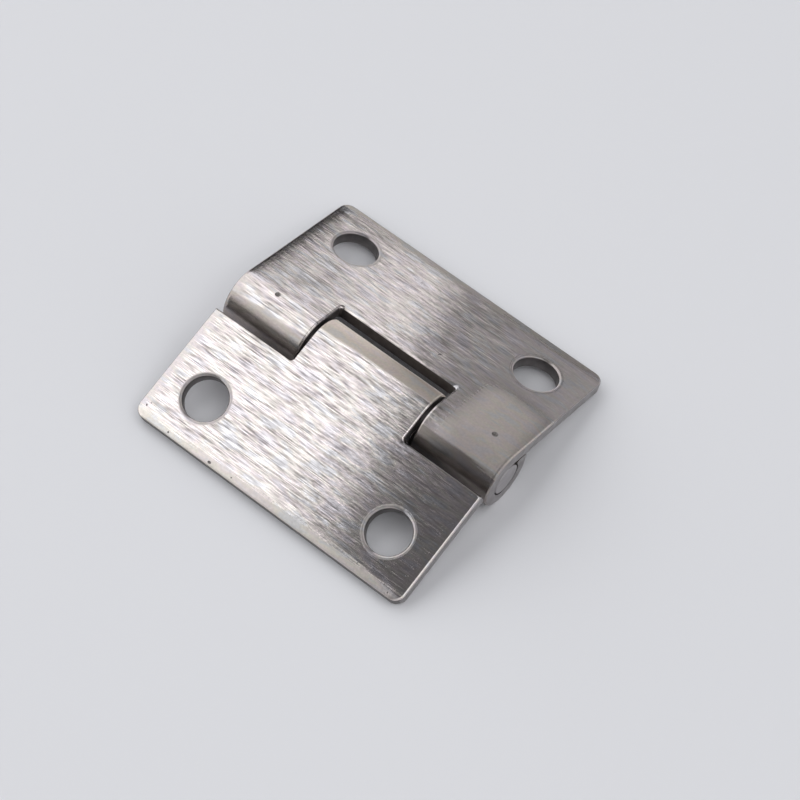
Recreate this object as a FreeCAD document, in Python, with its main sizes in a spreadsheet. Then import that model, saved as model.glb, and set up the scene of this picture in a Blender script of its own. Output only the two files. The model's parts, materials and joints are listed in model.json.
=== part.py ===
import FreeCAD, Part
import Sketcher
import math
import os

# Two-leaf steel hinge, stamped from sheet and rolled round a plain pin.
# X runs along the pin, +Z is up, and the origin is on the surface that the hinge rests on,
# straight below the middle of the pin. The barrel and both outer edges touch that surface.

os.makedirs("parts", exist_ok=True)
doc = FreeCAD.newDocument("leaf_hinge")

# ---------------------------------------------------------------- driving sizes, mm

SIZES = [
    ("leaf_length", 50.0, "length of both leaves and of the pin, along the pin"),
    ("leaf_reach", 24.75, "pin axis to the outer edge of a leaf"),
    ("sheet_thickness", 2.0, "steel sheet of both leaves"),
    ("pin_diameter", 5.5, "plain hinge pin"),
    ("running_gap", 0.05, "radial clearance of the pin in its knuckles"),
    ("centre_knuckle", 20.8, "length of the front leaf's single knuckle"),
    ("knuckle_gap", 0.5, "gap at each end of the centre knuckle"),
    ("notch_reach", 4.8, "pin axis to the rear leaf's notch edge"),
    ("shoulder_reach", 4.95, "pin axis to the front leaf's inner edges"),
    ("screw_hole", 7.0, "diameter of the four screw holes"),
    ("hole_spacing", 34.5, "between the two holes of a leaf"),
    ("hole_reach", 16.95, "pin axis to the row of holes"),
    ("corner_radius", 1.8, "outer corners of a leaf, in plan"),
    ("notch_radius", 0.6, "inner corners beside the knuckles, in plan"),
    ("edge_radius", 0.4, "tumbled top edges and knuckle rims"),
    ("seam_gap", 0.15, "between the end of a curl and its own leaf"),
    ("seam_reach", 2.2, "pin axis to where the end of a curl turns in"),
    ("stake_diameter", 0.8, "punch marks that hold the pin in the rear leaf"),
    ("stake_depth", 0.45, "depth of the punch marks"),
    ("left_stake_x", -18.75, "left punch mark, from the middle of the pin"),
    ("left_stake_y", -0.9, "left punch mark, from the pin axis"),
    ("right_stake_x", 20.35, "right punch mark, from the middle of the pin"),
    ("right_stake_y", 1.4, "right punch mark, from the pin axis"),
    ("pin_chamfer", 0.25, "both ends of the pin"),
]

sheet = doc.addObject("Spreadsheet::Sheet", "Sizes")
for row, (alias, value, note) in enumerate(SIZES, start=1):
    sheet.set(f"A{row}", str(value))
    sheet.setAlias(f"A{row}", alias)
    sheet.set(f"B{row}", note)
doc.recompute()

bore_radius = sheet.pin_diameter / 2 + sheet.running_gap
barrel_radius = bore_radius + sheet.sheet_thickness
BORE = "Sizes.pin_diameter / 2 + Sizes.running_gap"
BARREL = f"{BORE} + Sizes.sheet_thickness"

# A leaf slopes until its lower outer edge is as low as the underside of the barrel.
edge_distance = math.hypot(sheet.leaf_reach, bore_radius)
rest_slope = math.degrees(math.asin(barrel_radius / edge_distance)
                          + math.atan2(bore_radius, sheet.leaf_reach))

ORIGIN = (-1, 1)    # a sketch's own origin: geometry -1, point 1
UP = FreeCAD.Vector(0, 0, 1)
PAST_THE_ENDS = 1.0           # mm that a plan cut runs past the ends of the leaf
VOLUME_STEP = 0.01            # mm3, the least that a real cut removes


def new_body(label):
    body = doc.addObject("PartDesign::Body", label)
    body.Label = label
    return body


def new_sketch(body, name, plane_role):
    sketch = body.newObject("Sketcher::SketchObject", name)
    planes = {feature.Role: feature for feature in body.Origin.OriginFeatures}
    sketch.AttachmentSupport = (planes[plane_role], [""])
    sketch.MapMode = "FlatFace"
    return sketch


def size_constraint(sketch, name, formula, *constraint):
    """Add a constraint and bind its value to the sheet."""
    index = sketch.addConstraint(Sketcher.Constraint(*constraint))
    sketch.renameConstraint(index, name)
    sketch.setExpression(f"Constraints.{name}", formula)


def point(y, z):
    return FreeCAD.Vector(y, z, 0)


def add_rectangle(sketch, name, low, high, formulas):
    """Four lines from low to high, whose left, right, bottom and top follow the formulas."""
    corners = [point(low[0], low[1]), point(high[0], low[1]),
               point(high[0], high[1]), point(low[0], high[1])]
    lines = [Part.LineSegment(corners[i], corners[(i + 1) % 4]) for i in range(4)]
    bottom, right, top, left = sketch.addGeometry(lines, False)
    for first, second in ((bottom, right), (right, top), (top, left), (left, bottom)):
        sketch.addConstraint(Sketcher.Constraint("Coincident", first, 2, second, 1))
    for line in (bottom, top):
        sketch.addConstraint(Sketcher.Constraint("Horizontal", line))
    for line in (left, right):
        sketch.addConstraint(Sketcher.Constraint("Vertical", line))
    size_constraint(sketch, name + "_left", formulas[0], "DistanceX", *ORIGIN, left, 1, low[0])
    size_constraint(sketch, name + "_right", formulas[1], "DistanceX", *ORIGIN, right, 1, high[0])
    size_constraint(sketch, name + "_bottom", formulas[2], "DistanceY", *ORIGIN, bottom, 1, low[1])
    size_constraint(sketch, name + "_top", formulas[3], "DistanceY", *ORIGIN, top, 1, high[1])


def rolled_strip(body):
    """Sheet that lies flat towards +Y, tangent to the top of the barrel, and is rolled once
    round the pin until its end meets its own underside."""
    sketch = new_sketch(body, body.Label + "_section", "YZ_Plane")
    seam_height = bore_radius - sheet.seam_gap
    turn_in = math.atan2(seam_height, sheet.seam_reach)
    outer_end = math.asin(seam_height / barrel_radius)
    full_turn = 2 * math.pi
    inner_corner = point(bore_radius * math.cos(turn_in), bore_radius * math.sin(turn_in))
    middle_corner = point(sheet.seam_reach, seam_height)
    outer_corner = point(barrel_radius * math.cos(outer_end), seam_height)
    inner_circle = Part.Circle(point(0, 0), UP, bore_radius)
    outer_circle = Part.Circle(point(0, 0), UP, barrel_radius)
    top, edge, underside, bore, turn, seam, barrel = sketch.addGeometry([
        Part.LineSegment(point(0, barrel_radius), point(sheet.leaf_reach, barrel_radius)),
        Part.LineSegment(point(sheet.leaf_reach, barrel_radius), point(sheet.leaf_reach, bore_radius)),
        Part.LineSegment(point(sheet.leaf_reach, bore_radius), point(0, bore_radius)),
        Part.ArcOfCircle(inner_circle, math.pi / 2, full_turn + turn_in),
        Part.LineSegment(inner_corner, middle_corner),
        Part.LineSegment(middle_corner, outer_corner),
        Part.ArcOfCircle(outer_circle, math.pi / 2, full_turn + outer_end),
    ], False)
    for constraint in (
        ("Coincident", top, 2, edge, 1),
        ("Coincident", edge, 2, underside, 1),
        ("Tangent", underside, 2, bore, 1),
        ("Coincident", bore, 2, turn, 1),
        ("Coincident", turn, 2, seam, 1),
        ("Coincident", seam, 2, barrel, 2),
        ("Tangent", top, 1, barrel, 1),
        ("Coincident", bore, 3, *ORIGIN),
        ("Coincident", barrel, 3, *ORIGIN),
        ("Horizontal", top),
        ("Vertical", edge),
        ("Horizontal", underside),
        ("Horizontal", seam),
        ("PointOnObject", *ORIGIN, turn),
    ):
        sketch.addConstraint(Sketcher.Constraint(*constraint))
    size_constraint(sketch, "bore_radius", BORE, "Radius", bore, bore_radius)
    size_constraint(sketch, "barrel_radius", BARREL, "Radius", barrel, barrel_radius)
    size_constraint(sketch, "reach", "Sizes.leaf_reach", "DistanceX", *ORIGIN, edge, 1,
                    sheet.leaf_reach)
    size_constraint(sketch, "seam_reach", "Sizes.seam_reach", "DistanceX", *ORIGIN, turn, 2,
                    sheet.seam_reach)
    size_constraint(sketch, "seam_height", f"{BORE} - Sizes.seam_gap", "DistanceY", *ORIGIN, turn, 2,
                    seam_height)

    strip = body.newObject("PartDesign::Pad", body.Label + "_strip")
    strip.Profile = sketch
    strip.Midplane = True
    strip.setExpression("Length", "Sizes.leaf_length")
    doc.recompute()
    return strip


def cut_through(body, sketch, name):
    """Cut a plan sketch through the whole piece, above and below, and make sure it cut."""
    volume_before = body.Shape.Volume
    pocket = body.newObject("PartDesign::Pocket", name)
    pocket.Profile = sketch
    pocket.Type = "ThroughAll"
    pocket.Midplane = True
    doc.recompute()
    if body.Shape.Volume > volume_before - VOLUME_STEP:
        raise RuntimeError(name + " removed nothing")
    return pocket


def screw_holes(body):
    sketch = new_sketch(body, body.Label + "_hole_plan", "XY_Plane")
    for name, sign in (("left", -1), ("right", 1)):
        centre = FreeCAD.Vector(sign * sheet.hole_spacing / 2, sheet.hole_reach, 0)
        circle = sketch.addGeometry(Part.Circle(centre, UP, sheet.screw_hole / 2), False)
        size_constraint(sketch, name + "_radius", "Sizes.screw_hole / 2", "Radius", circle,
                        sheet.screw_hole / 2)
        size_constraint(sketch, name + "_x", f"{sign} * Sizes.hole_spacing / 2", "DistanceX",
                        *ORIGIN, circle, 3, centre.x)
        size_constraint(sketch, name + "_y", "Sizes.hole_reach", "DistanceY",
                        *ORIGIN, circle, 3, centre.y)
    return cut_through(body, sketch, body.Label + "_holes")


def round_edges(body, base, name, radius, wanted):
    """Fillet the edges of the base feature that the wanted(edge) test picks."""
    picked = [f"Edge{i}" for i, edge in enumerate(base.Shape.Edges, start=1) if wanted(edge)]
    if not picked:
        raise RuntimeError(name + " found no edges")
    fillet = body.newObject("PartDesign::Fillet", name)
    fillet.Base = (base, picked)
    fillet.setExpression("Radius", radius)
    doc.recompute()
    return fillet


def stands_upright(edge):
    """True for an edge square to the sheet, such as a stamped corner."""
    ends = [vertex.Point for vertex in edge.Vertexes]
    return len(ends) == 2 and abs((ends[1] - ends[0]).z) > 0.99 * edge.Length


def plan_corners(body, base, notch_x, notch_y):
    """Round the leaf's outer corners and the inner corners beside its knuckles, in plan."""

    def outer(edge):
        return stands_upright(edge) and edge.CenterOfMass.y > sheet.leaf_reach - 0.01

    def inner(edge):
        centre = edge.CenterOfMass
        at_corner = abs(abs(centre.x) - notch_x) < 0.01 and abs(centre.y - notch_y) < 0.01
        return stands_upright(edge) and at_corner

    rounded = round_edges(body, base, body.Label + "_corners", "Sizes.corner_radius", outer)
    return round_edges(body, rounded, body.Label + "_notch_corners", "Sizes.notch_radius", inner)


def tumbled_edges(body, base):
    """Soften the rim of the top face, which runs on round the barrel, and the hole rims."""

    def on_top(edge):
        box = edge.BoundBox
        level = box.ZMin > barrel_radius - 0.001
        return level and edge.CenterOfMass.y > 0.01

    return round_edges(body, base, body.Label + "_soft_edges", "Sizes.edge_radius", on_top)


def stake_mark(body, name, x, y):
    """A conical punch mark, pressed down into the top of a knuckle."""
    mark = body.newObject("PartDesign::SubtractiveCone", name)
    mark.Radius1 = 0
    mark.setExpression("Radius2", "Sizes.stake_diameter / 2")
    mark.setExpression("Height", "Sizes.stake_depth")
    mark.setExpression("Placement.Base.x", x)
    mark.setExpression("Placement.Base.y", y)
    mark.setExpression("Placement.Base.z", f"{BARREL} - Sizes.stake_depth")
    doc.recompute()


def place(body, turn, slope):
    """Set the leaf on the pin axis: turned about Z to its side, then sloped about X."""
    sloped = FreeCAD.Rotation(FreeCAD.Vector(1, 0, 0), slope)
    turned = FreeCAD.Rotation(UP, turn)
    body.Placement = FreeCAD.Placement(FreeCAD.Vector(0, 0, barrel_radius), sloped.multiply(turned))


# ---------------------------------------------------------------- front leaf, one knuckle

front_leaf = new_body("front_leaf")
rolled_strip(front_leaf)
tongue_half = sheet.centre_knuckle / 2
past_end = sheet.leaf_length / 2 + PAST_THE_ENDS
PAST_END = f"(Sizes.leaf_length / 2 + {PAST_THE_ENDS})"
cut_start = -2 * barrel_radius
CUT_START = f"-2 * ({BARREL})"
shoulder_plan = new_sketch(front_leaf, "shoulder_plan", "XY_Plane")
add_rectangle(shoulder_plan, "left", (-past_end, cut_start), (-tongue_half, sheet.shoulder_reach),
              ("-" + PAST_END, "-Sizes.centre_knuckle / 2", CUT_START, "Sizes.shoulder_reach"))
add_rectangle(shoulder_plan, "right", (tongue_half, cut_start), (past_end, sheet.shoulder_reach),
              ("Sizes.centre_knuckle / 2", PAST_END, CUT_START, "Sizes.shoulder_reach"))
cut_through(front_leaf, shoulder_plan, "shoulders")
front_base = screw_holes(front_leaf)
front_base = plan_corners(front_leaf, front_base, tongue_half, sheet.shoulder_reach)
tumbled_edges(front_leaf, front_base)
place(front_leaf, 180, rest_slope)

# ---------------------------------------------------------------- rear leaf, two knuckles

rear_leaf = new_body("rear_leaf")
rolled_strip(rear_leaf)
notch_half = tongue_half + sheet.knuckle_gap
notch_plan = new_sketch(rear_leaf, "notch_plan", "XY_Plane")
add_rectangle(notch_plan, "notch", (-notch_half, cut_start), (notch_half, sheet.notch_reach),
              ("-Sizes.centre_knuckle / 2 - Sizes.knuckle_gap",
               "Sizes.centre_knuckle / 2 + Sizes.knuckle_gap", CUT_START, "Sizes.notch_reach"))
cut_through(rear_leaf, notch_plan, "notch")
rear_base = screw_holes(rear_leaf)
rear_base = plan_corners(rear_leaf, rear_base, notch_half, sheet.notch_reach)
tumbled_edges(rear_leaf, rear_base)
unstaked_volume = rear_leaf.Shape.Volume
stake_mark(rear_leaf, "left_stake", "Sizes.left_stake_x", "Sizes.left_stake_y")
stake_mark(rear_leaf, "right_stake", "Sizes.right_stake_x", "Sizes.right_stake_y")
if rear_leaf.Shape.Volume > unstaked_volume - VOLUME_STEP:
    raise RuntimeError("the punch marks removed nothing")
place(rear_leaf, 0, -rest_slope)

# ---------------------------------------------------------------- hinge pin

hinge_pin = new_body("hinge_pin")
pin_section = new_sketch(hinge_pin, "pin_section", "YZ_Plane")
pin_circle = pin_section.addGeometry(Part.Circle(point(0, 0), UP, sheet.pin_diameter / 2), False)
pin_section.addConstraint(Sketcher.Constraint("Coincident", pin_circle, 3, *ORIGIN))
size_constraint(pin_section, "radius", "Sizes.pin_diameter / 2", "Radius", pin_circle,
                sheet.pin_diameter / 2)
pin_rod = hinge_pin.newObject("PartDesign::Pad", "pin_rod")
pin_rod.Profile = pin_section
pin_rod.Midplane = True
pin_rod.setExpression("Length", "Sizes.leaf_length")
doc.recompute()
pin_ends = hinge_pin.newObject("PartDesign::Chamfer", "pin_ends")
pin_ends.Base = (pin_rod, [f"Edge{i}" for i, edge in enumerate(pin_rod.Shape.Edges, start=1)
                           if edge.isClosed()])
pin_ends.setExpression("Size", "Sizes.pin_chamfer")
hinge_pin.Placement = FreeCAD.Placement(FreeCAD.Vector(0, 0, barrel_radius), FreeCAD.Rotation())

# ---------------------------------------------------------------- check and write

doc.recompute()
for item in doc.Objects:
    if "Invalid" in item.State or "Error" in item.State:
        raise RuntimeError(item.Name + " failed: " + ", ".join(item.State))
for body in (front_leaf, rear_leaf, hinge_pin):
    if body.Shape.isNull() or not body.Shape.isValid():
        raise RuntimeError(body.Label + " has no valid shape")
    if len(body.Shape.Solids) != 1:
        raise RuntimeError(body.Label + " is not one solid")
    print(body.Label, "volume", round(body.Shape.Volume, 1), "mm3, box", body.Shape.BoundBox)
    body.Shape.exportStep(f"parts/{body.Label}.step")
print("rest slope", round(rest_slope, 3), "degrees, axis height", barrel_radius, "mm")
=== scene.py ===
"""A leaf hinge of brushed stainless steel, lying open on a pale table.

Two stamped leaves are rolled round one pin: the rear leaf has two knuckles, the front leaf
has one that sits between them.
"""

import bmesh
import bpy
import json
import math
from mathutils import Matrix, Vector


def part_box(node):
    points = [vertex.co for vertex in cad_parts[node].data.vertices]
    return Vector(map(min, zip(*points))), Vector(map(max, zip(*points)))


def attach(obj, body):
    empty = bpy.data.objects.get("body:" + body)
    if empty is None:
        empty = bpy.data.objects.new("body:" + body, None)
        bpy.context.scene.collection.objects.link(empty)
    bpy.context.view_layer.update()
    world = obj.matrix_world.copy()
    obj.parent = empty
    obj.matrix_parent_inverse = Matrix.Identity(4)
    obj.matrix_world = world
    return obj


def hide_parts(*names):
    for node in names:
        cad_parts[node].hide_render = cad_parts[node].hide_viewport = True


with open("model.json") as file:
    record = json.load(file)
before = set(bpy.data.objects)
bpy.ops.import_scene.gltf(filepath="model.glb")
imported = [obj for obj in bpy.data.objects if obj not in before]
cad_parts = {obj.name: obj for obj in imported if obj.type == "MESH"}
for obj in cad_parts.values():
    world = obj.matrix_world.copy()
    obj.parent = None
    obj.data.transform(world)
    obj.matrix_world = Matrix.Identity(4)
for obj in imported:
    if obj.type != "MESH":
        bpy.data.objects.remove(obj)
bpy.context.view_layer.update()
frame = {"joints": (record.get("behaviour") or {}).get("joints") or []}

# ---------------------------------------------------------------- the rear leaf
# A flat plate of 2 mm stainless sheet, stamped with a wide notch in one edge. The two tongues
# beside the notch are rolled once round the pin, from the top face down, round and back up
# until they meet their own underside. Each knuckle carries one small punch mark.

MM = 0.001
same_place = 0.01 * MM
weld = 0.0005 * MM
sharp_corner = math.radians(50)
smooth_bend = math.radians(28)
pin_low, pin_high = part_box("hinge_pin")
rear_low, rear_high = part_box("rear_leaf")
axis_height = frame["joints"][0]["pos_m"][2]
half_length = rear_high.x
sheet_thickness = 2.0 * MM
barrel_radius = axis_height
bore_radius = barrel_radius - sheet_thickness
leaf_reach = 24.75 * MM
notch_half = 10.9 * MM
notch_reach = 4.8 * MM
seam_height = bore_radius - 0.15 * MM
seam_reach = 2.2 * MM
stake_depth = 0.3 * MM
stake_lip = 0.002 * MM
grain_step = 10 * MM
curl_steps = 54
corner_radius = 1.8 * MM
inner_corner_radius = 0.6 * MM
rim_radius = 0.4 * MM
hole_rim_radius = 0.4 * MM
hole_rim_steps = 8
burr_radius = 0.12 * MM
hole_radius = 3.5 * MM
hole_x, hole_y = 17.25 * MM, 16.95 * MM
plate_middle = (barrel_radius + bore_radius) / 2
# Each step: how far in from the edge it starts, and how much lower the sheet is outside it.
crown_steps = [(0.7 * MM, 0.014 * MM), (1.0 * MM, 0.014 * MM), (1.4 * MM, 0.014 * MM),
               (1.9 * MM, 0.010 * MM), (2.6 * MM, 0.007 * MM), (3.4 * MM, 0.004 * MM)]
rest_slope = (math.asin(axis_height / math.hypot(leaf_reach, bore_radius))
              + math.atan(bore_radius / leaf_reach))


def choose(piece, kind, wanted):
    """Selects, in edit mode, only the faces, edges or points that pass the test of their place."""
    mesh = bmesh.from_edit_mesh(piece.data)
    bpy.ops.mesh.select_mode(type=kind)
    bpy.ops.mesh.select_all(action="DESELECT")
    for item in {"FACE": mesh.faces, "EDGE": mesh.edges, "VERT": mesh.verts}[kind]:
        if wanted(item):
            item.select_set(True)
    mesh.select_flush_mode()
    bmesh.update_edit_mesh(piece.data)


def middle(item):
    """The middle of a face or an edge."""
    return sum((point.co for point in item.verts), Vector()) / len(item.verts)


def stamp_plate(name, inner_reach, split_at):
    """The flat plate, split across at the sides of its tongues."""
    bpy.ops.object.select_all(action="DESELECT")
    bpy.ops.mesh.primitive_cube_add(size=1, location=(0, (leaf_reach + inner_reach) / 2, plate_middle))
    plate = bpy.context.object
    plate.name = name
    plate.scale = (2 * half_length, leaf_reach - inner_reach, sheet_thickness)
    bpy.ops.object.transform_apply(location=True, rotation=True, scale=True)
    bpy.ops.object.mode_set(mode="EDIT")
    for x in (-split_at, split_at):
        bpy.ops.mesh.select_all(action="SELECT")
        bpy.ops.mesh.bisect(plane_co=(x, 0, 0), plane_no=(1, 0, 0))
    return plate


def roll_tongues(plate, inner_reach, on_tongue):
    """Draws the tongues out to the barrel, then rolls them round it to the seam."""
    choose(plate, "FACE", lambda face: face.normal.y < -0.9 and on_tongue(middle(face).x))
    bpy.ops.mesh.extrude_region_move(TRANSFORM_OT_translate={"value": (0, -inner_reach, 0)})
    turn_in = math.atan2(seam_height, seam_reach)
    bpy.ops.mesh.spin(steps=curl_steps, angle=math.radians(270) + turn_in, center=(0, 0, 0),
                      axis=(-1, 0, 0))
    choose(plate, "VERT", lambda point: point.co.y > 0.1 * MM and point.co.z > seam_height
           and math.hypot(point.co.y, point.co.z) < barrel_radius + same_place)
    bpy.ops.transform.resize(value=(1, 1, 0), center_override=(0, 0, seam_height))
    end_y = barrel_radius * math.cos(turn_in)
    choose(plate, "VERT", lambda point: abs(point.co.z - seam_height) < 0.001 * MM
           and abs(point.co.y - end_y) < 0.05 * MM)
    bpy.ops.transform.translate(value=(0, seam_reach - end_y, 0))
    bpy.ops.mesh.select_all(action="SELECT")
    bpy.ops.mesh.remove_doubles(threshold=weld)
    bpy.ops.mesh.normals_make_consistent(inside=False)


def round_corners(plate, split_at, inner_reach):
    """Rounds the upright corners that the stamping die leaves."""
    def upright(edge):
        a, b = (point.co for point in edge.verts)
        return abs(a.z - b.z) > 0.99 * (a - b).length and len(edge.link_faces) == 2

    choose(plate, "EDGE", lambda edge: upright(edge) and abs(middle(edge).x) > half_length - same_place
           and middle(edge).y > leaf_reach - same_place)
    bpy.ops.mesh.bevel(offset=corner_radius, segments=10, affect="EDGES", clamp_overlap=False)
    choose(plate, "EDGE", lambda edge: upright(edge) and abs(abs(middle(edge).x) - split_at) < same_place
           and abs(middle(edge).y - inner_reach) < same_place)
    bpy.ops.mesh.bevel(offset=inner_corner_radius, segments=6, affect="EDGES", clamp_overlap=False)


def punch_holes(plate):
    """The two screw holes, punched down through the sheet, which draws in the rim on the show side."""
    for place, across in (((hole_x, 0, 0), (1, 0, 0)), ((-hole_x, 0, 0), (1, 0, 0)),
                          ((0, hole_y, 0), (0, 1, 0))):
        bpy.ops.mesh.select_all(action="SELECT")
        bpy.ops.mesh.bisect(plane_co=place, plane_no=across)
    bpy.ops.object.mode_set(mode="OBJECT")
    bottom, rim_bottom = bore_radius - sheet_thickness, barrel_radius - hole_rim_radius
    for side in (-1, 1):
        bpy.ops.object.select_all(action="DESELECT")
        bpy.ops.mesh.primitive_cylinder_add(vertices=72, radius=hole_radius, depth=rim_bottom - bottom,
                                            location=(side * hole_x, hole_y, (bottom + rim_bottom) / 2))
        punch = bpy.context.object
        bpy.ops.object.transform_apply(location=True, rotation=True, scale=True)
        bpy.ops.object.mode_set(mode="EDIT")
        choose(punch, "FACE", lambda face: face.normal.z > 0.9)
        radius, height = hole_radius, 0
        for step in range(1, hole_rim_steps + 1):
            turn = math.radians(90) * step / hole_rim_steps
            next_radius = hole_radius + hole_rim_radius * (1 - math.cos(turn))
            next_height = hole_rim_radius * math.sin(turn)
            rise = (0, 0, next_height - height)
            bpy.ops.mesh.extrude_region_move(TRANSFORM_OT_translate={"value": rise})
            bpy.ops.transform.resize(value=(next_radius / radius, next_radius / radius, 1),
                                     center_override=(side * hole_x, hole_y, rim_bottom))
            radius, height = next_radius, next_height
        bpy.ops.mesh.extrude_region_move(TRANSFORM_OT_translate={"value": (0, 0, sheet_thickness)})
        bpy.ops.object.mode_set(mode="OBJECT")
        cut = plate.modifiers.new("hole", "BOOLEAN")
        cut.operation, cut.solver, cut.object = "DIFFERENCE", "EXACT", punch
        bpy.context.view_layer.objects.active = plate
        bpy.ops.object.modifier_apply(modifier=cut.name)
        bpy.data.objects.remove(punch)


def soften_rims(plate, inner_reach):
    """Tumbled rims: wide on the show side and round the barrel, narrow underneath."""
    bpy.ops.object.select_all(action="DESELECT")
    plate.select_set(True)
    bpy.context.view_layer.objects.active = plate
    bpy.ops.object.mode_set(mode="EDIT")

    def sharp(edge):
        return len(edge.link_faces) == 2 and edge.calc_face_angle(0) > sharp_corner

    def on_show_side(point):
        flat = point.co.z > barrel_radius - same_place and point.co.y > -same_place
        rolled = abs(math.hypot(point.co.y, point.co.z) - barrel_radius) < 2 * same_place
        return flat or (rolled and point.co.y < inner_reach)

    def at_seam(edge):
        return all(seam_height - 1.0 * MM < point.co.z < seam_height + same_place
                   and 0 < point.co.y < barrel_radius for point in edge.verts)

    def at_bore(edge):
        return all(abs(math.hypot(point.co.y, point.co.z) - bore_radius) < 2 * same_place
                   for point in edge.verts)

    choose(plate, "EDGE", lambda edge: sharp(edge) and all(on_show_side(p) for p in edge.verts)
           and not at_seam(edge))
    bpy.ops.mesh.bevel(offset=rim_radius, segments=5, affect="EDGES", clamp_overlap=False)
    choose(plate, "EDGE", lambda edge: sharp(edge) and not at_seam(edge) and not at_bore(edge))
    bpy.ops.mesh.bevel(offset=burr_radius, segments=2, affect="EDGES", clamp_overlap=False)
    bpy.ops.mesh.select_all(action="SELECT")
    bpy.ops.mesh.remove_doubles(threshold=weld)
    bpy.ops.mesh.normals_make_consistent(inside=False)
    bpy.ops.object.mode_set(mode="OBJECT")


def crown_top(plate):
    """The belt takes most off near the outer edges, so the show side falls away towards them."""
    bpy.ops.object.mode_set(mode="EDIT")
    for inset, _ in crown_steps:
        for place, across in (((half_length - inset, 0, 0), (1, 0, 0)),
                              ((inset - half_length, 0, 0), (1, 0, 0)),
                              ((0, leaf_reach - inset, 0), (0, 1, 0))):
            bpy.ops.mesh.select_all(action="SELECT")
            bpy.ops.mesh.bisect(plane_co=place, plane_no=across)
    for inset, fall in crown_steps:
        choose(plate, "VERT", lambda point: point.co.z > plate_middle and point.co.y > 0.5 * MM
               and min(half_length - abs(point.co.x), leaf_reach - point.co.y) < inset - same_place)
        bpy.ops.transform.translate(value=(0, 0, -fall))
    bpy.ops.object.mode_set(mode="OBJECT")


def lay_finishes(plate, brushed, sheared, blanked_and_shaded):
    """Brushed all over, except the walls that the shear and the blanking die have cut. The die-cut walls of
    the holes, the notch and the edges are darkened, partly as painted shade.
    """
    plate.data.materials.clear()
    for finish in (brushed, sheared, blanked_and_shaded):
        plate.data.materials.append(finish)
    bpy.ops.object.mode_set(mode="EDIT")

    def reach(face):
        return math.hypot(middle(face).y, middle(face).z)

    choose(plate, "FACE", lambda face: abs(face.normal.x) > 0.8 or reach(face) < bore_radius + 0.15 * MM)
    plate.active_material_index = 1
    bpy.ops.object.material_slot_assign()
    choose(plate, "FACE", lambda face: abs(face.normal.z) < 0.5 and reach(face) > barrel_radius + 0.1 * MM
           and (abs(face.normal.x) < 0.8 or math.hypot(abs(middle(face).x) - hole_x,
                                                       middle(face).y - hole_y) < hole_radius + 0.1 * MM))
    plate.active_material_index = 2
    bpy.ops.object.material_slot_assign()
    bpy.ops.object.mode_set(mode="OBJECT")


def strike(plate, punch, finish):
    """Drives a punch into the plate, whose mark keeps a finish of its own; its darker tone is painted shade in
    the dimple.
    """
    punch.data.materials.append(finish)
    cut = plate.modifiers.new("mark", "BOOLEAN")
    cut.operation, cut.solver, cut.material_mode, cut.object = "DIFFERENCE", "EXACT", "TRANSFER", punch
    bpy.context.view_layer.objects.active = plate
    bpy.ops.object.modifier_apply(modifier=cut.name)
    bpy.data.objects.remove(punch)


def dent(plate, x, y, radius, depth, stretch, turn, finish):
    """A small knock in the show side, round or drawn out."""
    bpy.ops.object.select_all(action="DESELECT")
    bpy.ops.mesh.primitive_ico_sphere_add(subdivisions=3, radius=radius, rotation=(0, 0, turn),
                                          location=(x, y, barrel_radius + radius - depth))
    knock = bpy.context.object
    knock.scale = (stretch, 1, 1)
    strike(plate, knock, finish)


def stake(plate, x, y, finish):
    """A conical punch mark, which pinches the knuckle on to the pin."""
    bpy.ops.object.select_all(action="DESELECT")
    bpy.ops.mesh.primitive_cone_add(vertices=24, radius1=0.3 * MM, radius2=0.5 * MM, depth=stake_depth,
                                    location=(x, y, barrel_radius - stake_depth / 2 + stake_lip))
    strike(plate, bpy.context.object, finish)


def finish_leaf(plate, turn, slope):
    """Smooths the rounds, keeps the flats flat, and sets the leaf on the pin."""
    bpy.ops.object.select_all(action="DESELECT")
    plate.select_set(True)
    bpy.context.view_layer.objects.active = plate
    bpy.ops.object.mode_set(mode="EDIT")
    bpy.ops.mesh.select_all(action="SELECT")
    bpy.ops.mesh.dissolve_degenerate(threshold=6 * weld)
    bpy.ops.object.mode_set(mode="OBJECT")
    grain = plate.data.uv_layers.new(name="grain")
    for face in plate.data.polygons:
        across = 2 if abs(face.normal.z) < 0.35 else 1
        for corner in face.loop_indices:
            point = plate.data.vertices[plate.data.loops[corner].vertex_index].co
            grain.data[corner].uv = (point.x / grain_step, point[across] / grain_step)
    bpy.ops.object.shade_smooth_by_angle(angle=smooth_bend)
    flat = plate.modifiers.new("flats", "WEIGHTED_NORMAL")
    flat.keep_sharp = True
    bpy.ops.object.modifier_apply(modifier=flat.name)
    plate.matrix_world = (Matrix.Translation((0, 0, axis_height)) @ Matrix.Rotation(slope, 4, "X")
                          @ Matrix.Rotation(turn, 4, "Z"))
    bpy.ops.object.transform_apply(location=True, rotation=True, scale=True)


def paint(hex_colour):
    """An sRGB hex colour as linear red, green, blue and full cover."""
    channels = [int(hex_colour[i:i + 2], 16) / 255 for i in (1, 3, 5)]
    return [c / 12.92 if c <= 0.04045 else ((c + 0.055) / 1.055) ** 2.4 for c in channels] + [1]


def add_node(material, kind, settings, result=0):
    """Adds a node with its settings: its own options, fixed inputs, and inputs fed by other nodes."""
    node = material.node_tree.nodes.new(kind)
    for name, value in settings.items():
        if isinstance(name, str) and hasattr(node, name):
            setattr(node, name, value)
        elif isinstance(value, bpy.types.NodeSocket):
            material.node_tree.links.new(value, node.inputs[name])
        else:
            node.inputs[name].default_value = value
    return node.outputs[result] if node.outputs else None


def start_material(name):
    """A new material with an empty node tree."""
    material = bpy.data.materials.new(name)
    material.use_nodes = True
    material.node_tree.nodes.clear()
    return material


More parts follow.
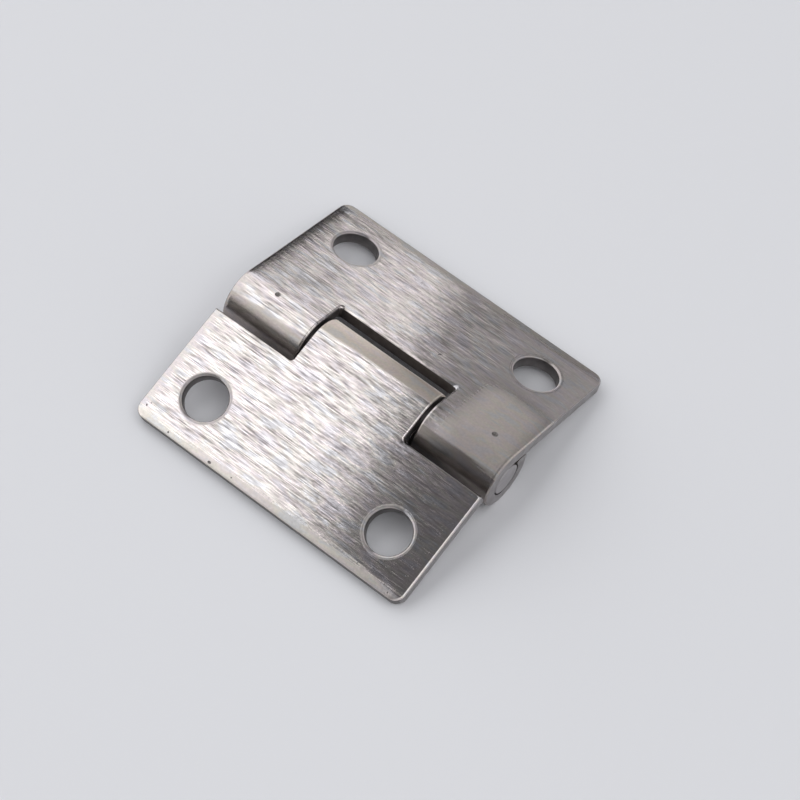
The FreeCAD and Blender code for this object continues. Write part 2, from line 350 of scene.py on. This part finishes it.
def brushed_steel(name, outward, brightest, rolled_from, dull_from, rolled_tone_and_shade, rolled_rough,
                  side_tone, side_rough):
    """Stainless sheet, belt brushed along the pin: fine broken lines, a reflection that is smeared
    across them, and worn rims with no lines. brightest is the tone of its lightest lines. outward
    is +1 where the leaf's outer edge is towards +Y and -1 where it is towards -Y. The belt stops
    on the barrel at rolled_from, counted outwards from the pin; beyond it the barrel has its own
    plain tone and roughness, and on the rear leaf that plain tone is darker, painted shade on the
    knuckles' side that faces the front leaf. The knuckle beyond dull_from, along the pin, is dull
    from the tumbler."""
    steel = start_material(name)
    place = add_node(steel, "ShaderNodeTexCoord", {}, "Object")
    x = add_node(steel, "ShaderNodeVectorMath", {"operation": "DOT_PRODUCT", 0: place, 1: (1, 0, 0)}, "Value")
    out_y = add_node(steel, "ShaderNodeVectorMath",
                     {"operation": "DOT_PRODUCT", 0: place, 1: (0, outward, 0)}, "Value")
    slope_way = (0, outward * math.cos(rest_slope), -math.sin(rest_slope))
    up_sheet = add_node(steel, "ShaderNodeVectorMath",
                        {"operation": "DOT_PRODUCT", 0: place, 1: slope_way}, "Value")

    # Grit lines are really 0.02 to 0.05 mm wide; they are drawn 0.12 to 0.2 mm wide so that they show.
    # Each row of lines is cut off from the next, so that they stay straight, and takes its noise
    # from a place row_stride further on, so that no two rows are alike.
    row_stride = 7.37
    rows = []
    for length, width in ((2.5 * MM, 0.20 * MM), (7.0 * MM, 0.12 * MM)):
        row = add_node(steel, "ShaderNodeMath", {"operation": "SNAP", 0: up_sheet, 1: width})
        row = add_node(steel, "ShaderNodeMath", {"operation": "MULTIPLY", 0: row, 1: row_stride / width})
        along_row = add_node(steel, "ShaderNodeMath", {"operation": "DIVIDE", 0: x, 1: length})
        spot = add_node(steel, "ShaderNodeCombineXYZ", {0: along_row, 1: row})
        rows.append(add_node(steel, "ShaderNodeTexNoise",
                             {"Vector": spot, "Scale": 1.0, "Detail": 1.0, "Roughness": 0.5}, "Fac"))
    short_lines, long_lines = rows
    lines = add_node(steel, "ShaderNodeMix", {"Factor": 0.5, "A": short_lines, "B": long_lines})

    # Uneven belt pressure, belt chatter, handling stains and tumbler pebbling: length, width, detail.
    patterns = []
    for length, width, detail in ((16.0, 1.1, 2.0), (0.9, 0.12, 1.0), (4.0, 1.4, 2.0), (0.35, 0.35, 2.0)):
        spread = (1 / (length * MM), 1 / (width * MM), 1 / (width * MM))
        stretched = add_node(steel, "ShaderNodeMapping", {"Vector": place, "Scale": spread})
        noise = {"Vector": stretched, "Scale": 1.0, "Detail": detail, "Roughness": 0.5}
        patterns.append(add_node(steel, "ShaderNodeTexNoise", noise, "Fac"))
    bands, chatter, stains, pebbles = patterns

    # The worn places: within about 2 mm of the outer edge and the ends, and round the screw holes.
    aside = add_node(steel, "ShaderNodeMath", {"operation": "ABSOLUTE", 0: x})
    from_end = add_node(steel, "ShaderNodeMath", {"operation": "SUBTRACT", 0: half_length, 1: aside})
    axis_at = -axis_height * math.sin(rest_slope)
    side_at = leaf_reach + axis_at
    from_side = add_node(steel, "ShaderNodeMath", {"operation": "SUBTRACT", 0: side_at, 1: up_sheet})
    unlined = []
    for distance in (from_side, from_end):
        feathered = add_node(steel, "ShaderNodeMath",
                             {"operation": "MULTIPLY_ADD", 0: long_lines, 1: 3 * MM, 2: distance})
        unlined.append(add_node(steel, "ShaderNodeMapRange",
                                {"interpolation_type": "SMOOTHSTEP", "Value": feathered, "From Min": 2.3 * MM,
                                 "From Max": 3.6 * MM, "To Min": 1.0, "To Max": 0.0}))
    on_sheet = add_node(steel, "ShaderNodeCombineXYZ", {0: aside, 1: up_sheet})
    from_hole = add_node(steel, "ShaderNodeVectorMath",
                         {"operation": "DISTANCE", 0: on_sheet, 1: (hole_x, hole_y + axis_at, 0)}, "Value")
    at_hole = add_node(steel, "ShaderNodeMapRange",
                       {"interpolation_type": "SMOOTHSTEP", "Value": from_hole,
                        "From Min": hole_radius + hole_rim_radius,
                        "From Max": hole_radius + 2 * hole_rim_radius, "To Min": 1.0, "To Max": 0.0})
    over_way = (0, outward * math.sin(rest_slope), math.cos(rest_slope))
    over_sheet = add_node(steel, "ShaderNodeVectorMath",
                          {"operation": "DOT_PRODUCT", 0: place, 1: over_way}, "Value")
    middle_at = plate_middle + axis_height * math.cos(rest_slope)
    show_side = add_node(steel, "ShaderNodeMapRange", {"Value": over_sheet, "From Min": middle_at - 0.4 * MM,
                                                       "From Max": middle_at})
    at_hole = add_node(steel, "ShaderNodeMath", {"operation": "MULTIPLY", 0: at_hole, 1: show_side})
    worn = add_node(steel, "ShaderNodeMath", {"operation": "MAXIMUM", 0: unlined[0], 1: unlined[1]})
    worn = add_node(steel, "ShaderNodeMath", {"operation": "MAXIMUM", 0: worn, 1: at_hole})
    uneven = add_node(steel, "ShaderNodeMath", {"operation": "MULTIPLY_ADD", 0: bands, 1: 2 * MM, 2: out_y})
    rolled = add_node(steel, "ShaderNodeMapRange",
                      {"interpolation_type": "SMOOTHSTEP", "Value": uneven, "From Min": rolled_from + 0.5 * MM,
                       "From Max": rolled_from + 1.5 * MM, "To Min": 1.0, "To Max": 0.0})
    uneven = add_node(steel, "ShaderNodeMath", {"operation": "MULTIPLY_ADD", 0: bands, 1: 16 * MM, 2: x})
    pressed = add_node(steel, "ShaderNodeMapRange",
                       {"interpolation_type": "SMOOTHSTEP", "Value": uneven, "From Min": 14 * MM,
                        "From Max": 24 * MM, "To Min": 1.0, "To Max": 0.3})
    not_worn = add_node(steel, "ShaderNodeMath", {"operation": "SUBTRACT", 0: 1.0, 1: worn})
    not_rolled = add_node(steel, "ShaderNodeMath", {"operation": "SUBTRACT", 0: 1.0, 1: rolled})
    brushed = add_node(steel, "ShaderNodeMath", {"operation": "MULTIPLY", 0: not_worn, 1: not_rolled})
    brushed = add_node(steel, "ShaderNodeMath", {"operation": "MULTIPLY", 0: brushed, 1: pressed})

    # Colour: light and dark lines, a faint straw or blue tint, and the tumbled places plain. On the rear leaf,
    # the barrel beyond where the belt stops is painted darker as shade.
    contrast = add_node(steel, "ShaderNodeMath", {"operation": "SUBTRACT", 0: lines, 1: 0.5})
    contrast = add_node(steel, "ShaderNodeMath", {"operation": "MULTIPLY", 0: contrast, 1: brushed})
    depth = add_node(steel, "ShaderNodeMath", {"operation": "ADD", 0: contrast, 1: 0.5})
    tone = add_node(steel, "ShaderNodeValToRGB", {"Fac": depth})
    for stop, place_in, colour in zip(tone.node.color_ramp.elements, (0.36, 0.64), ("#8b8889", brightest)):
        stop.position, stop.color = place_in, paint(colour)
    tint = add_node(steel, "ShaderNodeValToRGB", {"Fac": stains})
    for place_in, colour in ((0.35, "#f5f2f6"), (0.45, "#fbf3f2"), (0.55, "#f9f5ee"), (0.65, "#f2f3f6")):
        tint.node.color_ramp.elements.new(place_in).color = paint(colour)
    for old_stop in (tint.node.color_ramp.elements[-1], tint.node.color_ramp.elements[0]):
        tint.node.color_ramp.elements.remove(old_stop)

    near_barrel = add_node(steel, "ShaderNodeMapRange",
                           {"interpolation_type": "SMOOTHSTEP", "Value": up_sheet, "From Min": 6 * MM,
                            "From Max": 11 * MM, "To Min": 1.0, "To Max": 0.0})
    dull = add_node(steel, "ShaderNodeMapRange",
                    {"interpolation_type": "SMOOTHSTEP", "Value": x, "From Min": dull_from,
                     "From Max": dull_from + 6 * MM})
    dull = add_node(steel, "ShaderNodeMath", {"operation": "MULTIPLY", 0: dull, 1: near_barrel})
    dull = add_node(steel, "ShaderNodeMath", {"operation": "MULTIPLY", 0: dull, 1: not_rolled})
    half_dull = add_node(steel, "ShaderNodeMath", {"operation": "MULTIPLY", 0: dull, 1: 0.7})
    colour = tone
    # The last tone, on the rear leaf, is painted shade on the knuckles' side that faces the front leaf.
    for cover, plain_tone in ((half_dull, "#f2eeea"), (unlined[0], side_tone), (rolled, rolled_tone_and_shade)):
        colour = add_node(steel, "ShaderNodeMix",
                          {"data_type": "RGBA", 0: cover, 6: colour, 7: paint(plain_tone)}, 2)
    mottle = add_node(steel, "ShaderNodeMapRange", {"Value": pebbles, "From Min": 0.3, "From Max": 0.7,
                                                    "To Min": 0.86, "To Max": 1.0})
    plain = add_node(steel, "ShaderNodeMath", {"operation": "SUBTRACT", 0: 1.0, 1: brushed})
    for cover, veil in ((1.0, tint), (plain, mottle)):
        colour = add_node(steel, "ShaderNodeMix", {"data_type": "RGBA", "blend_type": "MULTIPLY", 0: cover,
                                                   6: colour, 7: veil}, 2)
    # Gloss and height: the lines and rims are a few thousandths of a millimetre deep.
    rough = add_node(steel, "ShaderNodeMapRange", {"Value": lines, "From Min": 0.35, "From Max": 0.65,
                                                   "To Min": 0.09, "To Max": 0.15})
    for mask, extra in ((dull, 0.42), (unlined[0], side_rough), (at_hole, 0.32), (rolled, rolled_rough)):
        rough = add_node(steel, "ShaderNodeMath", {"operation": "MULTIPLY_ADD", 0: mask, 1: extra, 2: rough})
    pits = add_node(steel, "ShaderNodeMath", {"operation": "SUBTRACT", 0: pebbles, 1: 0.5})
    pits = add_node(steel, "ShaderNodeMath", {"operation": "MULTIPLY", 0: pits, 1: worn})
    chatter = add_node(steel, "ShaderNodeMath", {"operation": "SUBTRACT", 0: chatter, 1: 0.5})
    chatter = add_node(steel, "ShaderNodeMath", {"operation": "MULTIPLY", 0: chatter, 1: brushed})
    surface = None
    for height, rise in ((contrast, 0.010), (bands, 0.002), (chatter, 0.005), (pits, 0.012)):
        settings = {"Height": height, "Strength": 1.0, "Distance": rise * MM}
        if surface:
            settings["Normal"] = surface
        surface = add_node(steel, "ShaderNodeBump", settings)
    along = add_node(steel, "ShaderNodeTangent", {"direction_type": "UV_MAP", "uv_map": "grain"})
    shader = add_node(steel, "ShaderNodeBsdfPrincipled",
                      {"Metallic": 1.0, "Anisotropic": 1.0, "Anisotropic Rotation": 0.25,
                       "Base Color": colour, "Roughness": rough, "Normal": surface, "Tangent": along})
    add_node(steel, "ShaderNodeOutputMaterial", {"Surface": shader})
    return steel


def cut_steel(name, dark, light, smoothest, roughest):
    """Stainless steel as a shear or die leaves it, never brushed: duller and darker than the faces,
    with short tear marks through the sheet. On the die walls and knocks the darker tone is partly
    painted shade, and on the punch marks it is painted shade."""
    steel = start_material(name)
    place = add_node(steel, "ShaderNodeTexCoord", {}, "Object")
    stretched = add_node(steel, "ShaderNodeMapping",
                         {"Vector": place, "Scale": (1 / (0.12 * MM), 1 / (0.12 * MM), 1 / (1.2 * MM))})
    tears = add_node(steel, "ShaderNodeTexNoise",
                     {"Vector": stretched, "Scale": 1.0, "Detail": 2.0, "Roughness": 0.5}, "Fac")
    patches = add_node(steel, "ShaderNodeTexNoise",
                       {"Vector": place, "Scale": 1 / (1.5 * MM), "Detail": 2.0, "Roughness": 0.5}, "Fac")
    tone = add_node(steel, "ShaderNodeValToRGB", {"Fac": patches})
    for stop, place_in, colour in zip(tone.node.color_ramp.elements, (0.3, 0.7), (dark, light)):
        stop.position, stop.color = place_in, paint(colour)
    rough = add_node(steel, "ShaderNodeMapRange", {"Value": tears, "To Min": smoothest, "To Max": roughest})
    surface = add_node(steel, "ShaderNodeBump", {"Height": tears, "Strength": 1.0, "Distance": 0.012 * MM})
    shader = add_node(steel, "ShaderNodeBsdfPrincipled",
                      {"Metallic": 1.0, "Base Color": tone, "Roughness": rough, "Normal": surface})
    add_node(steel, "ShaderNodeOutputMaterial", {"Surface": shader})
    return steel


# A shear leaves the ends matt and paler than a die leaves the walls of the holes and the edges,
# which look dark grey. That dark grey is partly the die's dull finish and partly painted shade on
# these walls, and the knocks take it too. A punch mark is matt, and its grey, between the two, is
# painted shade in the dimple.
# The rear leaf's barrel tone #a8a4a1 is painted shade on the knuckles' side that faces the front leaf.
rear_finish = brushed_steel("brushed_stainless_steel_rear", 1, "#ebe8e9", -2.8 * MM, 11 * MM, "#a8a4a1", 0.08,
                            "#c0bdba", 0.2)
sheared_finish = cut_steel("sheared_stainless_steel", "#938e8d", "#aca8a9", 0.3, 0.5)
blanked_and_shaded_finish = cut_steel("blanked_steel_with_painted_shade", "#686463", "#7e7a79", 0.35, 0.5)
struck_and_shaded_finish = cut_steel("punched_steel_with_painted_shade", "#75716f", "#989492", 0.4, 0.55)

rear = stamp_plate("rear_leaf_plate", notch_reach, notch_half)
roll_tongues(rear, notch_reach, lambda x: abs(x) > notch_half)
round_corners(rear, notch_half, notch_reach)
punch_holes(rear)
soften_rims(rear, notch_reach)
crown_top(rear)
lay_finishes(rear, rear_finish, sheared_finish, blanked_and_shaded_finish)
stake(rear, -18.75 * MM, -0.9 * MM, struck_and_shaded_finish)
stake(rear, 20.35 * MM, 1.4 * MM, struck_and_shaded_finish)
# Each knock: its place along and out from the pin, radius, depth, stretch and turn.
for x, y, radius, depth, stretch, turn in (
        (5.1, 8.5, 0.2, 0.06, 2.2, 0.9), (-22.4, 9.0, 0.16, 0.06, 1.0, 0.0),
        (14.0, 22.5, 0.16, 0.05, 1.0, 0.0), (-6.0, 19.0, 0.14, 0.05, 1.5, 0.4)):
    dent(rear, x * MM, y * MM, radius * MM, depth * MM, stretch, turn, blanked_and_shaded_finish)
finish_leaf(rear, 0, -rest_slope)
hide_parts("rear_leaf")
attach(rear, "rear")

# ---------------------------------------------------------------- the front leaf
# The same plate, stamped the other way round: one tongue in the middle, rolled into the
# knuckle that fills the gap between the rear leaf's two. Its front edge has more knocks.

front_tongue_half = 10.4 * MM
shoulder_reach = 4.95 * MM
front_finish = brushed_steel("brushed_stainless_steel_front", -1, "#fffdfe", -0.4 * MM, half_length,
                             "#e4ded8", 0.42, "#f6f4f1", 0.28)

front = stamp_plate("front_leaf_plate", shoulder_reach, front_tongue_half)
roll_tongues(front, shoulder_reach, lambda x: abs(x) < front_tongue_half)
round_corners(front, front_tongue_half, shoulder_reach)
punch_holes(front)
soften_rims(front, shoulder_reach)
crown_top(front)
lay_finishes(front, front_finish, sheared_finish, blanked_and_shaded_finish)
for x, y, radius, depth, stretch, turn in (
        (18.5, 24.2, 0.22, 0.12, 1.0, 0.0), (10.6, 24.2, 0.28, 0.14, 1.6, 0.0),
        (6.5, 24.1, 0.2, 0.09, 1.0, 0.0),
        (23.8, 22.8, 0.2, 0.08, 1.6, 2.2), (23.4, 22.2, 0.14, 0.06, 1.0, 0.0),
        (-22.6, 24.1, 0.22, 0.1, 1.0, 0.0), (-21.5, 23.4, 0.18, 0.07, 1.0, 0.0),
        (-16.4, 23.2, 0.14, 0.06, 1.0, 0.0),
        (-11.1, 13.1, 0.14, 0.05, 1.0, 0.0), (-12.4, 9.4, 0.12, 0.05, 1.0, 0.0)):
    dent(front, x * MM, y * MM, radius * MM, depth * MM, stretch, turn, blanked_and_shaded_finish)
finish_leaf(front, math.pi, rest_slope)
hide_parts("front_leaf")
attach(front, "front")

# ---------------------------------------------------------------- the hinge pin
# A length of drawn stainless rod, sheared to length and necked a little at its ends, pressed
# into the two outer knuckles and loose in the middle one.

pin_radius = (pin_high.z - pin_low.z) / 2
pin_length = pin_high.x - pin_low.x
neck_length = 1.2 * MM
neck_step = 0.2 * MM
bpy.ops.object.select_all(action="DESELECT")
bpy.ops.mesh.primitive_cylinder_add(vertices=72, radius=pin_radius, depth=pin_length - 2 * neck_length,
                                    location=(0, 0, axis_height), rotation=(0, math.pi / 2, 0))
pin = bpy.context.object
pin.name = "hinge_pin_rod"
bpy.ops.object.transform_apply(location=True, rotation=True, scale=True)
bpy.ops.object.mode_set(mode="EDIT")
for side in (-1, 1):
    choose(pin, "FACE", lambda face: face.normal.x * side > 0.9)
    bpy.ops.mesh.inset(thickness=neck_step)
    bpy.ops.mesh.extrude_region_move(TRANSFORM_OT_translate={"value": (side * neck_length, 0, 0)})
choose(pin, "EDGE", lambda edge: edge.calc_face_angle(0) > math.radians(60)
       and abs(middle(edge).x) > pin_length / 2 - same_place)
bpy.ops.mesh.bevel(offset=0.05 * MM, segments=2, affect="EDGES")
bpy.ops.object.mode_set(mode="OBJECT")
bpy.ops.object.shade_smooth_by_angle(angle=math.radians(40))

# Drawn rod is smooth along its length; its sawn ends are flat grey, with fine parallel lines.
rod_steel = start_material("sawn_stainless_rod")
place = add_node(rod_steel, "ShaderNodeTexCoord", {}, "Object")
stretched = add_node(rod_steel, "ShaderNodeMapping",
                     {"Vector": place, "Scale": (1 / (6 * MM), 1 / (2.5 * MM), 1 / (0.12 * MM))})
saw_lines = add_node(rod_steel, "ShaderNodeTexNoise",
                     {"Vector": stretched, "Scale": 1.0, "Detail": 2.0, "Roughness": 0.5}, "Fac")
tone = add_node(rod_steel, "ShaderNodeValToRGB", {"Fac": saw_lines})
for stop, place_in, colour in zip(tone.node.color_ramp.elements, (0.3, 0.7), ("#a6a2a3", "#c4c0c1")):
    stop.position, stop.color = place_in, paint(colour)
rough = add_node(rod_steel, "ShaderNodeMapRange", {"Value": saw_lines, "To Min": 0.3, "To Max": 0.45})
surface = add_node(rod_steel, "ShaderNodeBump",
                   {"Height": saw_lines, "Strength": 1.0, "Distance": 0.008 * MM})
shader = add_node(rod_steel, "ShaderNodeBsdfPrincipled",
                  {"Metallic": 1.0, "Base Color": tone, "Roughness": rough, "Normal": surface})
add_node(rod_steel, "ShaderNodeOutputMaterial", {"Surface": shader})
pin.data.materials.clear()
pin.data.materials.append(rod_steel)
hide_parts("hinge_pin")
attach(pin, "rear")

# ---------------------------------------------------------------- table, light and camera
# A pale laminate table top, matt so that it shows only soft shadows. A large soft box stands on
# the left and one hangs overhead to the right; the rest of the room is dim, so the leaves go from
# near white to dark grey.

bpy.ops.object.select_all(action="DESELECT")
bpy.ops.mesh.primitive_plane_add(size=12, location=(0, 0, 0))
table = bpy.context.object
table.name = "table_top"
table_finish = start_material("matt_laminate")
table_shader = add_node(table_finish, "ShaderNodeBsdfPrincipled",
                        {"Base Color": paint("#e0e1e5"), "Roughness": 0.6, "Specular IOR Level": 0.2})
add_node(table_finish, "ShaderNodeOutputMaterial", {"Surface": table_shader})
table.data.materials.append(table_finish)

room_light = 0.19
room = bpy.data.worlds.new("room")
bpy.context.scene.world = room
room.use_nodes = True
room.node_tree.nodes["Background"].inputs["Color"].default_value = paint("#f2f2f6")
room.node_tree.nodes["Background"].inputs["Strength"].default_value = room_light


def soft_box(name, place, aim, width, depth, radiance):
    """A flat oval soft light of even brightness, in watts per square metre and steradian."""
    lamp = bpy.data.lights.new(name, "AREA")
    lamp.shape, lamp.size, lamp.size_y = "ELLIPSE", width, depth
    lamp.energy = radiance * math.pi * math.pi / 4 * width * depth
    holder = bpy.data.objects.new(name, lamp)
    bpy.context.scene.collection.objects.link(holder)
    holder.location = place
    holder.rotation_euler = (Vector(place) - Vector(aim)).to_track_quat("Z", "Y").to_euler()


soft_box("left_soft_box", (-0.6, 0, 0), (0, 0, 0), 3.84, 4.09, 1.36)
soft_box("top_soft_box", (0.68, 0, 1.6), (0, 0, 0), 3.0, 1.5, 1.0)
soft_box("right_soft_box", (0.9, 0, 0.4), (0, 0, 0.1), 1.2, 2.0, 0.6)
soft_box("back_soft_box", (0.6, 2.0, 0.9), (0.2, 0, 0.2), 3.0, 1.6, 0.36)

# Two low flags of black felt, which gives back almost no light, stand in front of the left soft
# box and cut off its lower corners.
felt = start_material("black_felt")
felt_shader = add_node(felt, "ShaderNodeBsdfPrincipled",
                       {"Base Color": paint("#2c2c2e"), "Roughness": 0.9, "Specular IOR Level": 0.1})
add_node(felt, "ShaderNodeOutputMaterial", {"Surface": felt_shader})
for name, near_y, far_y, height in (("rear_flag", 0.55, 2.5, 0.67), ("front_flag", -1.1, -2.5, 0.6)):
    bpy.ops.object.select_all(action="DESELECT")
    bpy.ops.mesh.primitive_plane_add(size=1, rotation=(0, math.pi / 2, 0),
                                     location=(-0.58, (near_y + far_y) / 2, height / 2))
    flag = bpy.context.object
    flag.name = name
    flag.scale = (height, abs(far_y - near_y), 1)
    bpy.ops.object.transform_apply(location=True, rotation=True, scale=True)
    flag.data.materials.append(felt)

# The camera looks down on the right front corner, from about 0.4 m.
azimuth, elevation, roll = math.radians(33.3), math.radians(58.27), math.radians(6.18)
camera_aim = Vector((3.22 * MM, 2.99 * MM, 0))
camera_distance = 421.8 * MM
back = Vector((math.sin(azimuth) * math.cos(elevation), -math.cos(azimuth) * math.cos(elevation),
               math.sin(elevation)))
lens = bpy.data.cameras.new("camera")
lens.lens, lens.sensor_width = 127.3, 36
lens.clip_start, lens.clip_end = 0.01, 50
camera = bpy.data.objects.new("camera", lens)
bpy.context.scene.collection.objects.link(camera)
camera.matrix_world = (Matrix.Translation(camera_aim + camera_distance * back)
                       @ (back.to_track_quat("Z", "Y").to_matrix() @ Matrix.Rotation(roll, 3, "Z")).to_4x4())
bpy.context.scene.camera = camera
bpy.context.scene.view_settings.view_transform = "Standard"
